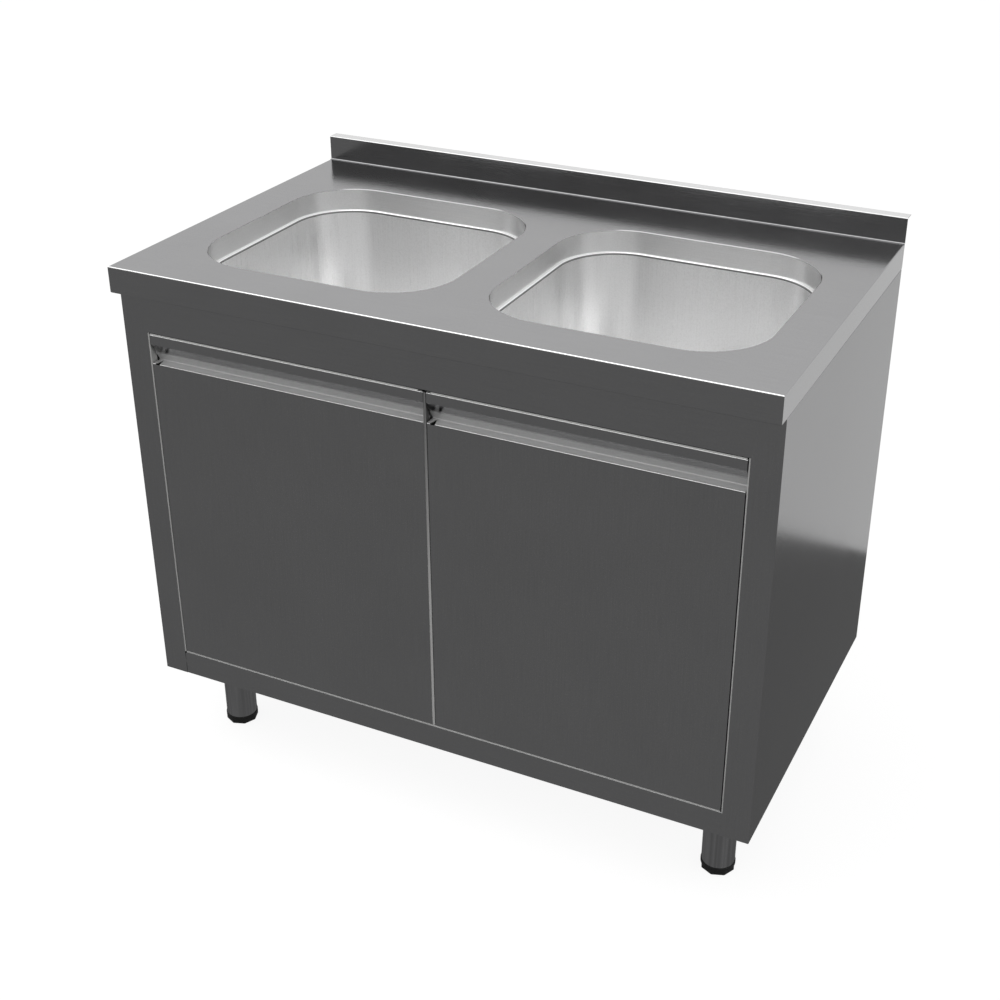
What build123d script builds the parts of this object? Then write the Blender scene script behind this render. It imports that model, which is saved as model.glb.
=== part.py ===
from build123d import *
import math
import os

# Kitchen sink unit: a stainless steel cupboard with a folded double-bowl worktop.
# Millimetres. X runs along the front, Y from front to back, Z up from the floor.

# ---- Overall sizes ----
overall_width = 1000.0
worktop_depth = 600.0  # from the front apron to the face of the upstand
body_height = 660.0
leg_height = 140.0  # floor to the underside of the cupboard, feet screwed right in
apron_height = 40.0
front_overhang = 20.0
upstand_height = 40.0
upstand_return = 20.0

# ---- Sheets and folds ----
worktop_sheet = 1.2
body_sheet = 1.0
bowl_sheet = 1.0
worktop_fold = 2.0  # outside radius of a fold
body_fold = 1.0
hidden_fold = 0.0  # folds that stay out of sight are sharp
front_return = 48.0  # under the front apron
side_return = 25.0

# ---- Bowls ----
bowl_side_margin = 68.0  # end of the worktop to the bowl mouth
bowl_gap = 64.0  # between the two mouths
bowl_front_margin = 78.0
bowl_rear_margin = 122.0
mouth_corner = 100.0
mouth_collar = 34.0  # depth of the collar pressed down round each mouth
bowl_ledge = 5.0  # step from the collar in to the bowl wall
bowl_flange = 11.0  # rim outside the collar
bowl_depth = 250.0  # worktop to bowl floor
mouth_lip = 6.0  # flat ring that joins the collar to the worktop
mouth_fold = (2.0, 1)  # radius of a pressed fold and the number of flats that follow it
ledge_fold = (3.0, 1)
floor_fold = (25.0, 4)

# ---- Waste outlets ----
waste_thread = 23.9  # radius of a one and a half inch pipe thread
waste_bore = 20.0
waste_flange = 35.0
waste_flange_thickness = 3.0
waste_length = 75.0
waste_hole_clearance = 0.5
grate_bar = 3.0
seal_width = 11.0
seal_thickness = 3.0
nut_across_flats = 64.0
nut_thickness = 9.0

# ---- Cupboard ----
stile_width = 41.0
stile_return = 22.0
body_flange = 25.0
top_rail_height = 61.5
rail_flange = 45.0
bottom_rail_height = 41.0
bottom_rail_return = 20.0
rail_seam = 0.8  # open seam between the bottom rail and the left stile
rail_relief = 2.2  # corner relief at the end of that seam
panel_clearance = 0.5
channel_flange = 30.0
rear_rail_height = 40.0
service_width = 360.0
service_height = 240.0
service_corner = 20.0

# ---- Stiffeners under the worktop ----
stiffener_width = 58.0
stiffener_height = 20.0
stiffener_lip = 14.0
stiffener_slope = 3.0
stiffener_gap = 4.0

# ---- Legs and feet ----
leg_radius = 25.4
leg_wall = 1.5
leg_side_inset = 70.0
leg_front_inset = 95.0
leg_plate = 80.0
leg_plate_thickness = 4.0
bearer_lip = 12.0
bearer_end_gap = 6.0
foot_height = 12.0
foot_chamfer = 4.0
stem_radius = 8.0
stem_length = 80.0
stem_clearance = 0.3
leg_nut_thickness = 18.0

# ---- Doors ----
door_side_gap = 3.5
door_middle_gap = 5.2
door_bottom_gap = 2.5
door_top_gap = 3.0
liner_sheet = 1.0
liner_flange = 15.0

# ---- Finger pull folded along the top of each door ----
pull_lip = 14.5  # upright lip above the slot
pull_slope_rise = 30.5  # slanted wall behind the slot
pull_depth = 17.8  # reach of the flange under the slot
pull_clearance = 3.2  # from the flange to the inner door sheet
relief_start = 4.5  # corner relief in the flange, measured from its left end
relief_end = 13.0
relief_point = 8.0
relief_thickness = 2.0

# ---- Door pivots and catches ----
pivot_inset = 16.0  # from the hinge edge of the door
pivot_setback = 10.0  # behind the front of the door
pin_radius = 4.0
running_clearance = 0.05
fixing_clearance = 0.1
bush_width = 14.0
bush_length = 12.0
bush_spigot = 10.5  # square end that fills the punched hole
pin_shoulder = 7.0  # across the flats, halved
pin_neck = 7.0  # square neck riveted into the top rail
pin_neck_length = 3.0
pin_end_gap = 1.0
catch_inset = 60.0  # from the middle of the unit
catch_width = 46.0
catch_depth = 14.0
catch_height = 14.0
magnet_width = 34.0
magnet_depth = 6.0
magnet_height = 7.0
magnet_gap = 0.1
strike_width = 40.0
strike_height = 9.0
strike_thickness = 1.2

# ---- Working allowances of the cutters and tests ----
overshoot = 1.0  # how far a cutter runs past the face it cuts
same_place = 1e-6
parallel = 0.999
round_flats = 24  # flats of a round piece that is out of sight or has a thread
square_limit = 3.0  # a fold of up to this many sheets keeps a square hidden side

# ---- Planes worked out from the sizes above ----
half_width = overall_width / 2
front_face = -(worktop_depth + upstand_return) / 2
upstand_face = front_face + worktop_depth
body_front = front_face + front_overhang
body_rear = upstand_face
body_bottom = leg_height
body_top = body_bottom + body_height
worktop_top = body_top + apron_height
worktop_under = worktop_top - worktop_sheet
bowl_length = (overall_width - 2 * bowl_side_margin - bowl_gap) / 2
bowl_width = worktop_depth - bowl_front_margin - bowl_rear_margin
bowl_x = (bowl_gap + bowl_length) / 2
bowl_y = front_face + bowl_front_margin + bowl_width / 2
ledge_height = worktop_top - mouth_collar
bowl_floor = worktop_top - bowl_depth
stile_edge = half_width - stile_width
side_inner = half_width - body_sheet
shelf_top = body_bottom + bottom_rail_height
top_rail_bottom = body_top - top_rail_height
panel_rear = body_rear - body_sheet
panel_front = panel_rear - body_sheet
door_outer = stile_edge - door_side_gap
door_inner = door_middle_gap / 2
door_bottom = shelf_top + door_bottom_gap
door_top = top_rail_bottom - door_top_gap
door_thickness = pull_depth + pull_clearance + liner_sheet
door_back = body_front + door_thickness
pull_top = door_top - pull_lip
pull_floor = pull_top - pull_slope_rise
pivot_x = door_outer - pivot_inset
pivot_y = body_front + pivot_setback
lower_bush_bottom = door_bottom + body_sheet + liner_sheet
leg_x = half_width - leg_side_inset
leg_y = (body_rear - body_front) / 2 - leg_front_inset
body_middle = (body_front + body_rear) / 2
bearer_bottom = body_bottom + leg_plate_thickness

SIDES = {"left": -1, "right": 1}
ENDS = {"front": -1, "rear": 1}


# ---- Shared shapes ----
def block(span_x, span_y, span_z):
    """Box between the low and high values of three spans."""
    size = [high - low for low, high in (span_x, span_y, span_z)]
    return Pos(span_x[0], span_y[0], span_z[0]) * Box(*size, align=(Align.MIN,) * 3)


def drum(radius, low, high, x=0.0, y=0.0):
    """Upright cylinder between two heights."""
    return Pos(x, y, low) * Cylinder(radius, high - low, align=(Align.CENTER, Align.CENTER, Align.MIN))


def flat_drum(radius, low, high, x=0.0, y=0.0, bore=False):
    """Upright prism with many flats, inside the circle or, for a bore, round it."""
    outline = RegularPolygon(radius, round_flats, major_radius=not bore)
    return extrude(Pos(x, y, low) * outline, high - low)


def rounded_prism(length, width, corner, low, high):
    """Upright block with rounded corners."""
    return extrude(Pos(0, 0, low) * RectangleRounded(length, width, corner), high - low)


def touches(point, spans, sides):
    """Whether a point lies on one of the named sides of a box."""
    values = (point.X, point.Y, point.Z)
    return any(abs(values[axis] - spans[axis][end]) < same_place for axis, end in sides)


def folded_case(spans, open_sides, sheet, fold, is_folded):
    """Box of folded sheet. A side is (axis, end), with end 0 low and 1 high."""
    inner_spans = []
    for axis, (low, high) in enumerate(spans):
        low_offset = -fold if (axis, 0) in open_sides else sheet
        high_offset = -fold if (axis, 1) in open_sides else sheet
        inner_spans.append((low + low_offset, high - high_offset))
    outer = block(*spans)
    edges = [e for e in outer.edges() if is_folded(e) and not touches(e.center(), spans, open_sides)]
    return fillet(edges, fold) - block(*inner_spans)


def along(*axes):
    """Test for edges that run along one of the axes."""
    return lambda edge: any(abs(edge.tangent_at(0.5).dot(axis.direction)) > parallel for axis in axes)


def folded_section(path, sheet, *folds):
    """Section of bent sheet with the sheet to the right of the path. Folds are the visible
    radii, one for each corner or one for all, and the hidden side has plain bevels."""
    folds = folds * (len(path) - 2) if len(folds) == 1 else folds
    points = [Vector(*point) for point in path]
    hidden = hidden_side(points, sheet, folds)
    radii = [0.0, *folds] + [0.0] * (1 + len(hidden))
    return make_face(FilletPolyline(*points, *reversed(hidden), radius=radii, close=True))


def pressed_section(path, sheet, *folds):
    """Section of pressed sheet, like a folded one, with each fold given as a radius and
    the number of flats that follow its arc."""
    points = [Vector(*point) for point in path]
    runs = directions(points)
    visible = [points[0]]
    for index, (radius, flats) in enumerate(folds, start=1):
        visible += fold_corners(points[index], runs[index - 1], runs[index], radius, flats)
    visible.append(points[-1])
    hidden = hidden_side(points, sheet, [radius for radius, flats in folds])
    return make_face(Polyline(*visible, *reversed(hidden), close=True))


def directions(points):
    """Direction of each run between two points."""
    return [(after - before).normalized() for before, after in zip(points, points[1:])]


def fold_corners(corner, before, after, radius, flats):
    """Corners of the flats that touch the arc of a fold."""
    turn = math.acos(before.dot(after))
    step = math.copysign(turn / (flats + overshoot), before.cross(after).Z)
    half_flat = radius * math.tan(abs(step) / 2)
    corners = [corner - before * (radius * math.tan(turn / 2) - half_flat)]
    for number in range(1, 1 + flats):
        direction = before.rotate(Axis.Z, math.degrees(number * step))
        corners.append(corners[-1] + direction * (2 * half_flat))
    return corners


def hidden_side(points, sheet, folds):
    """Points of the far side of a bent sheet."""
    runs = directions(points)
    normals = [Vector(run.Y, -run.X) for run in runs]
    hidden = [points[0] + normals[0] * sheet]
    for index, fold in enumerate(folds, start=1):
        before, after = normals[index - 1], normals[index]
        corner = points[index] + (before + after) * (sheet / (1 + before.dot(after)))
        inset = hidden_inset(before, after, runs[index - 1].cross(runs[index]).Z < 0, sheet, fold)
        hidden += [corner - runs[index - 1] * inset, corner + runs[index] * inset] if inset else [corner]
    return hidden + [points[-1] + normals[-1] * sheet]


def hidden_inset(before, after, turns_inwards, sheet, fold):
    """How far from the corner the hidden side's bevel starts, or 0 where the side stays square."""
    half_turn = math.acos(before.dot(after)) / 2
    if fold <= square_limit * sheet:
        return 0.0
    if turns_inwards:
        return (fold - sheet) * math.tan(half_turn)
    return (fold + sheet) * (math.tan(half_turn) - math.tan(half_turn / 2))


def along_x(section, span):
    """Sweep a section drawn in Y and Z along X."""
    start = Plane((span[0], 0, 0), x_dir=(0, 1, 0), z_dir=(1, 0, 0))
    return extrude(start * section, span[1] - span[0])


def along_y(section, span):
    """Sweep a section drawn in X and Z along Y."""
    start = Plane((0, span[1], 0), x_dir=(1, 0, 0), z_dir=(0, -1, 0))
    return extrude(start * section, span[1] - span[0])


def pressed_ring(section, length, width):
    """Carry a section round a rounded rectangle. The section is drawn outwards from the
    axis of a corner, and length and width are the straight runs between those axes."""
    corner = revolve(Plane.XZ * section, Axis.Z, 90)
    ring = None
    runs = [(width, length), (length, width)] * 2
    for quarter, (along_run, across_run) in enumerate(runs):
        side = Pos(across_run / 2, 0) * along_y(section, (-along_run / 2, along_run / 2))
        piece = side + Pos(across_run / 2, along_run / 2) * corner
        turned = Rot(0, 0, 90 * quarter) * piece
        ring = turned if ring is None else ring + turned
    return ring


# ---- Worktop and bowls ----
def worktop():
    """One sheet folded down at the front and ends and up into the upstand."""
    spans = ((-half_width, half_width), (front_face, upstand_face), (body_top, worktop_top))
    shell = folded_case(spans, {(1, 1)}, worktop_sheet, worktop_fold, along(Axis.X, Axis.Y))
    window_front = front_face + front_return
    window_side = half_width - side_return
    window_depths = (body_top - worktop_sheet, body_top + 2 * worktop_sheet)
    shell -= block((-window_side, window_side), (window_front, upstand_face + overshoot), window_depths)
    channel_front = upstand_face - channel_flange - panel_clearance
    clear_side = half_width - worktop_sheet
    shell -= block((-clear_side, clear_side), (channel_front, upstand_face + overshoot), window_depths)
    fold_start = upstand_face - 2 * worktop_fold
    shell -= block((-clear_side, clear_side), (fold_start, upstand_face + overshoot), (worktop_under, worktop_top))
    upstand_top = worktop_top + upstand_height
    upstand_path = [
        (fold_start, worktop_top),
        (upstand_face, worktop_top),
        (upstand_face, upstand_top),
        (upstand_face + upstand_return, upstand_top),
    ]
    shell += along_x(folded_section(upstand_path, worktop_sheet, worktop_fold), (-half_width, half_width))
    lip_length = bowl_length + 2 * mouth_lip
    lip_width = bowl_width + 2 * mouth_lip
    cut = rounded_prism(lip_length, lip_width, mouth_corner + mouth_lip, worktop_under - overshoot, worktop_top + overshoot)
    mouth = pressed_ring(mouth_section(), bowl_length - 2 * mouth_corner, bowl_width - 2 * mouth_corner)
    for side in SIDES.values():
        place = Pos(side * bowl_x, bowl_y)
        shell = shell - place * cut + place * mouth
    return shell


def mouth_section():
    """Collar and lip of a bowl mouth, pressed down from the worktop."""
    path = [
        (mouth_corner, ledge_height),
        (mouth_corner, worktop_top),
        (mouth_corner + mouth_lip, worktop_top),
    ]
    return pressed_section(path, worktop_sheet, mouth_fold)


def bowl_section():
    """Floor, wall and rim of a bowl, out from the axis of a corner."""
    wall = mouth_corner - bowl_ledge
    path = [(0, bowl_floor), (wall, bowl_floor), (wall, ledge_height), (mouth_corner + bowl_flange, ledge_height)]
    return pressed_section(path, bowl_sheet, floor_fold, ledge_fold)


def bowl(x):
    """Deep-drawn bowl with its rim under the collar and a hole for the waste."""
    length = bowl_length - 2 * mouth_corner
    width = bowl_width - 2 * mouth_corner
    body = pressed_ring(bowl_section(), length, width)
    floor_sheet = (bowl_floor - bowl_sheet, bowl_floor)
    body += block((-length / 2, length / 2), (-width / 2, width / 2), floor_sheet)
    hole = waste_thread + waste_hole_clearance
    body -= flat_drum(hole, bowl_floor - bowl_sheet - overshoot, bowl_floor + overshoot, bore=True)
    return Pos(x, bowl_y) * body


def waste(x):
    """Waste with a flange, a cross-bar grate and a threaded tail."""
    flange_top = bowl_floor + waste_flange_thickness
    tail_end = bowl_floor - waste_length
    body = drum(waste_flange, bowl_floor, flange_top) + flat_drum(waste_thread, tail_end, bowl_floor)
    body -= flat_drum(waste_bore, tail_end - overshoot, flange_top + overshoot, bore=True)
    half = grate_bar / 2
    reach = waste_bore + grate_bar
    heights = (bowl_floor - waste_flange_thickness, flange_top - half)
    body += block((-reach, reach), (-half, half), heights)
    body += block((-half, half), (-reach, reach), heights)
    return Pos(x, bowl_y) * body


def waste_seal(x):
    """Rubber washer under the bowl floor."""
    top = bowl_floor - bowl_sheet
    bottom = top - seal_thickness
    washer = flat_drum(waste_thread + seal_width, bottom, top)
    washer -= flat_drum(waste_thread + fixing_clearance, bottom - overshoot, top + overshoot, bore=True)
    return Pos(x, bowl_y) * washer


def waste_nut(x):
    """Hexagon nut that pulls the waste down on its seal."""
    top = bowl_floor - bowl_sheet - seal_thickness
    bottom = top - nut_thickness
    nut = extrude(Pos(0, 0, bottom) * RegularPolygon(nut_across_flats / 2, 6, major_radius=False), nut_thickness)
    nut -= flat_drum(waste_thread + fixing_clearance, bottom - overshoot, top + overshoot, bore=True)
    return Pos(x, bowl_y) * nut


# ---- Stiffeners and channels ----
def hat_section(centre):
    """Hat section welded under the worktop by its two lips."""
    half = stiffener_width / 2
    wall = half - stiffener_lip
    bottom = worktop_under - stiffener_height
    path = [
        (centre - half, worktop_under),
        (centre - wall, worktop_under),
        (centre - wall + stiffener_slope, bottom),
        (centre + wall - stiffener_slope, bottom),
        (centre + wall, worktop_under),
        (centre + half, worktop_under),
    ]
    return folded_section(path, body_sheet, hidden_fold)


def stiffeners():
    """Five hats round and between the bowls."""
    mouth_front = bowl_y - bowl_width / 2 - worktop_sheet
    mouth_rear = bowl_y + bowl_width / 2 + worktop_sheet
    half = stiffener_width / 2
    front_y = mouth_front - stiffener_gap - half
    rear_y = mouth_rear + stiffener_gap + half
    end_x = half_width - worktop_sheet - stiffener_gap
    cross_span = (-end_x, end_x)
    long_span = (front_y + half + overshoot, rear_y - half - overshoot)
    side_x = end_x - half
    return {
        "stiffener_front": along_x(hat_section(front_y), cross_span),
        "stiffener_rear": along_x(hat_section(rear_y), cross_span),
        "stiffener_left": along_y(hat_section(-side_x), long_span),
        "stiffener_middle": along_y(hat_section(0.0), long_span),
        "stiffener_right": along_y(hat_section(side_x), long_span),
    }


def rear_channel(bottom, top, rear, half_length):
    """Channel that opens to the front."""
    front = rear - channel_flange
    path = [(front, top), (rear, top), (rear, bottom), (front, bottom)]
    return along_x(folded_section(path, body_sheet, hidden_fold), (-half_length, half_length))


# ---- Cupboard ----
def side_panel(side):
    """Side sheet folded into the front stile, the rear return and the end flanges."""
    spans = ((stile_edge, half_width), (body_front, body_rear), (body_bottom, body_top))
    outer_face = half_width - body_sheet
    shell = folded_case(spans, set(), body_sheet, body_fold, lambda e: e.center().X > outer_face)
    flange_edge = half_width - body_flange
    stile_back = body_front + stile_return
    open_height = (body_bottom - overshoot, body_top + overshoot)
    shell -= block((stile_edge - overshoot, flange_edge), (stile_back, body_rear + overshoot), open_height)
    return shell if side > 0 else mirror(shell, about=Plane.YZ)


def top_rail():
    """Rail over the doors, flanged on all four sides."""
    spans = ((-stile_edge, stile_edge), (body_front, body_front + rail_flange), (top_rail_bottom, body_top))
    shell = folded_case(spans, {(1, 1)}, body_sheet, body_fold, along(Axis.X))
    half = pin_neck / 2 + fixing_clearance
    hole_depth = (top_rail_bottom - overshoot, top_rail_bottom + 2 * body_sheet)
    for side in SIDES.values():
        shell -= Pos(side * pivot_x, pivot_y) * block((-half, half), (-half, half), hole_depth)
    return shell


def bottom_shelf():
    """Cupboard floor, folded down at the front into the bottom rail."""
    stile_back = body_front + stile_return + panel_clearance
    wall_bottom = body_bottom + body_sheet + body_fold
    spans = ((-side_inner, side_inner), (stile_back, panel_front), (wall_bottom, shelf_top))
    shell = folded_case(spans, {(1, 0), (2, 0)}, body_sheet, body_fold, along(Axis.X, Axis.Y))
    rail_path = [
        (body_front + bottom_rail_return, body_bottom),
        (body_front, body_bottom),
        (body_front, shelf_top),
        (stile_back + 2 * body_fold, shelf_top),
    ]
    seam_x = rail_seam - stile_edge
    shell += along_x(folded_section(rail_path, body_sheet, body_fold), (seam_x, stile_edge))
    shell -= block(
        (seam_x - overshoot, seam_x + rail_relief),
        (body_front - overshoot, body_front + rail_relief),
        (shelf_top - rail_relief, shelf_top + overshoot),
    )
    return shell


def back_panel():
    """Back sheet with an opening for the pipes."""
    half = side_inner - panel_clearance
    bottom = body_bottom + body_sheet
    top = body_top - body_sheet
    sheet = block((-half, half), (panel_front, panel_rear), (bottom, top))
    section = Pos(0, (bottom + top) / 2) * RectangleRounded(service_width, service_height, service_corner)
    return sheet - along_y(section, (panel_front - overshoot, panel_rear + overshoot))


def bearer(x):
    """Channel under the shelf that carries a front and a rear leg."""
    half = leg_plate / 2
    top = shelf_top - body_sheet
    path = [
        (x + half - bearer_lip, top),
        (x + half, top),
        (x + half, bearer_bottom),
        (x - half, bearer_bottom),
        (x - half, top),
        (x - half + bearer_lip, top),
    ]
    front = body_front + stile_return + bearer_end_gap
    rear = panel_front - body_sheet - bearer_end_gap
    return along_y(folded_section(path, body_sheet, hidden_fold), (front, rear))


# ---- Legs and feet ----
def leg(x, y):
    """Round tube welded under a square plate."""
    half = leg_plate / 2
    plate = block((x - half, x + half), (y - half, y + half), (body_bottom, bearer_bottom))
    tube = drum(leg_radius, foot_height, body_bottom, x, y)
    bore = flat_drum(leg_radius - leg_wall, foot_height - overshoot, body_bottom, x, y, bore=True)
    return plate + tube - bore


def leg_nut(x, y):
    """Threaded hexagon block fixed inside the end of the tube."""
    hexagon = RegularPolygon(leg_radius - leg_wall, 6)
    block_shape = extrude(Pos(x, y, foot_height) * hexagon, leg_nut_thickness)
    nut_top = foot_height + leg_nut_thickness
    bore_radius = stem_radius + stem_clearance
    return block_shape - flat_drum(bore_radius, foot_height - overshoot, nut_top + overshoot, x, y, bore=True)


def foot(x, y):
    """Plastic foot with a chamfered sole."""
    grip = flat_drum(leg_radius, 0, foot_height)
    sole = grip.edges().group_by(Axis.Z)[0]
    return Pos(x, y) * chamfer(sole, foot_chamfer)


def foot_stem(x, y):
    """Threaded stem of a foot."""
    return flat_drum(stem_radius, foot_height, foot_height + stem_length, x, y)


# ---- Doors ----
def door_spans(side):
    """Left and right edges of a door."""
    return tuple(sorted((side * door_inner, side * door_outer)))


def door_skin(side):
    """Outer door sheet, folded along its top into a full-width finger pull."""
    low, high = door_spans(side)
    spans = ((low, high), (body_front, door_back), (door_bottom, pull_floor))
    shell = folded_case(spans, {(1, 1)}, body_sheet, body_fold, along(Axis.X, Axis.Z))
    pull_back = body_front + pull_depth
    strip_start = pull_back - 2 * body_fold
    shell -= block((low - overshoot, high + overshoot), (strip_start, door_back + overshoot), (pull_floor - body_sheet, pull_floor + overshoot))
    pull_path = [
        (strip_start, pull_floor),
        (pull_back, pull_floor),
        (body_front, pull_top),
        (body_front, door_top),
        (door_back, door_top),
    ]
    shell += along_x(folded_section(pull_path, body_sheet, body_fold), (low, high))
    shell -= flange_relief(low, pull_back)
    for height in (door_bottom, door_top):
        shell -= bush_hole(side, height - 2 * body_sheet, height + 2 * body_sheet)
    return shell


def bush_hole(side, low, high):
    """Square hole punched for the end of a bearing block."""
    half = bush_spigot / 2 + fixing_clearance
    return Pos(side * pivot_x, pivot_y) * block((-half, half), (-half, half), (low, high))


def flange_relief(low, pull_back):
    """Triangular corner relief cut in the left end of the flange."""
    corner = make_face(
        Polyline(
            (low + relief_start, body_front - overshoot),
            (low + relief_end, body_front - overshoot),
            (low + relief_point, pull_back - 2 * body_fold),
            close=True,
        )
    )
    return extrude(Pos(0, 0, pull_floor - relief_thickness) * corner, relief_thickness + overshoot)


def door_liner(side):
    """Inner door sheet that closes the back of the skin."""
    low, high = door_spans(side)
    front = door_back - liner_flange
    spans = (
        (low + body_sheet, high - body_sheet),
        (front, door_back),
        (door_bottom + body_sheet, door_top - body_sheet),
    )
    shell = folded_case(spans, {(1, 0), (2, 1)}, liner_sheet, body_fold, along(Axis.X, Axis.Z))
    flange_top = pull_floor - 2 * body_sheet
    shell -= block((low - overshoot, high + overshoot), (front - overshoot, door_back - liner_sheet), (flange_top, door_top + overshoot))
    flange_bottom = door_bottom + body_sheet
    return shell - bush_hole(side, flange_bottom - overshoot, flange_bottom + 2 * liner_sheet)


def pivot_bushes(side):
    """Bottom and top bearing blocks, each with a square spigot, that turn on the pins."""
    lower = (lower_bush_bottom, lower_bush_bottom + bush_length)
    upper = (door_top - body_sheet - bush_length, door_top - body_sheet)
    spigots = ((door_bottom, lower_bush_bottom), (upper[1], door_top))
    half = bush_width / 2
    spigot_half = bush_spigot / 2
    bushes = []
    for body_span, spigot_span in zip((lower, upper), spigots):
        bush = block((-half, half), (-half, half), body_span)
        bush += block((-spigot_half, spigot_half), (-spigot_half, spigot_half), spigot_span)
        bush -= drum(pin_radius + running_clearance, body_span[0] - bush_length, body_span[1] + bush_length)
        bushes.append(Pos(side * pivot_x, pivot_y) * bush)
    return Compound(children=bushes)


def top_pivot_pin(side):
    """Pin with a square neck riveted into the flange of the top rail."""
    pin_bottom = door_top - body_sheet - bush_length + pin_end_gap
    half = pin_neck / 2
    neck = block((-half, half), (-half, half), (top_rail_bottom, top_rail_bottom + pin_neck_length))
    return Pos(side * pivot_x, pivot_y) * (neck + drum(pin_radius, pin_bottom, top_rail_bottom))


def bottom_pivot_pin(side):
    """Pin welded on the shelf, with a hexagon shoulder that carries the door."""
    pin_top = lower_bush_bottom + bush_length - pin_end_gap
    hexagon = Pos(0, 0, shelf_top) * RegularPolygon(pin_shoulder, 6, major_radius=False)
    shoulder = extrude(hexagon, door_bottom - shelf_top)
    return Pos(side * pivot_x, pivot_y) * (shoulder + drum(pin_radius, door_bottom, pin_top))


def catch_front():
    """Face of the magnets, just clear of the strike plates."""
    return door_back + strike_thickness + magnet_gap


def catch_housing(side):
    """Plastic housing under the flange of the top rail."""
    half = catch_width / 2
    spans = (
        (side * catch_inset - half, side * catch_inset + half),
        (catch_front(), catch_front() + catch_depth),
        (top_rail_bottom - catch_height, top_rail_bottom),
    )
    return block(*spans) - catch_magnet(side)


def catch_magnet(side):
    """Magnet let into the front of its housing."""
    half = magnet_width / 2
    middle = top_rail_bottom - catch_height / 2
    spans = (
        (side * catch_inset - half, side * catch_inset + half),
        (catch_front(), catch_front() + magnet_depth),
        (middle - magnet_height / 2, middle + magnet_height / 2),
    )
    return block(*spans)


def strike_plate(side):
    """Steel plate on the back of the door, opposite the magnet."""
    half = strike_width / 2
    middle = top_rail_bottom - catch_height / 2
    spans = (
        (side * catch_inset - half, side * catch_inset + half),
        (door_back, door_back + strike_thickness),
        (middle - strike_height / 2, middle + strike_height / 2),
    )
    return block(*spans)


def pair(make):
    """Left and right copies of a piece as separate solids."""
    return Compound(children=[make(side) for side in SIDES.values()])


def build():
    """All nodes of the unit by name."""
    nodes = {"worktop": worktop(), **stiffeners()}
    nodes["rear_apron"] = rear_channel(body_top, worktop_under, upstand_face, half_width - worktop_fold)
    rail_half = half_width - body_flange - panel_clearance
    nodes["rear_rail"] = rear_channel(body_top - rear_rail_height, body_top, panel_front, rail_half)
    nodes["top_rail"] = top_rail()
    nodes["bottom_shelf"] = bottom_shelf()
    nodes["back_panel"] = back_panel()
    nodes["wastes"] = pair(lambda side: waste(side * bowl_x))
    nodes["waste_seals"] = pair(lambda side: waste_seal(side * bowl_x))
    nodes["waste_nuts"] = pair(lambda side: waste_nut(side * bowl_x))
    nodes["pivot_pins_top"] = pair(top_pivot_pin)
    nodes["pivot_pins_bottom"] = pair(bottom_pivot_pin)
    nodes["catch_housings"] = pair(catch_housing)
    nodes["catch_magnets"] = pair(catch_magnet)
    for name, side in SIDES.items():
        nodes[f"bowl_{name}"] = bowl(side * bowl_x)
        nodes[f"side_panel_{name}"] = side_panel(side)
        nodes[f"bearer_{name}"] = bearer(side * leg_x)
        nodes[f"door_skin_{name}"] = door_skin(side)
        nodes[f"door_liner_{name}"] = door_liner(side)
        nodes[f"pivot_bushes_{name}"] = pivot_bushes(side)
        nodes[f"strike_plate_{name}"] = strike_plate(side)
    corners = {}
    for end_name, end in ENDS.items():
        for name, side in SIDES.items():
            corners[f"{end_name}_{name}"] = (side * leg_x, body_middle + end * leg_y)
    nodes["legs"] = Compound(children=[leg(*place) for place in corners.values()])
    nodes["leg_nuts"] = Compound(children=[leg_nut(*place) for place in corners.values()])
    for name, place in corners.items():
        nodes[f"foot_{name}"] = foot(*place)
        nodes[f"foot_stem_{name}"] = foot_stem(*place)
    return nodes


os.makedirs("parts", exist_ok=True)
for node, shape in build().items():
    export_step(shape, f"parts/{node}.step")
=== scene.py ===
import math

import bmesh
import bpy
from mathutils import Matrix, Vector


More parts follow.
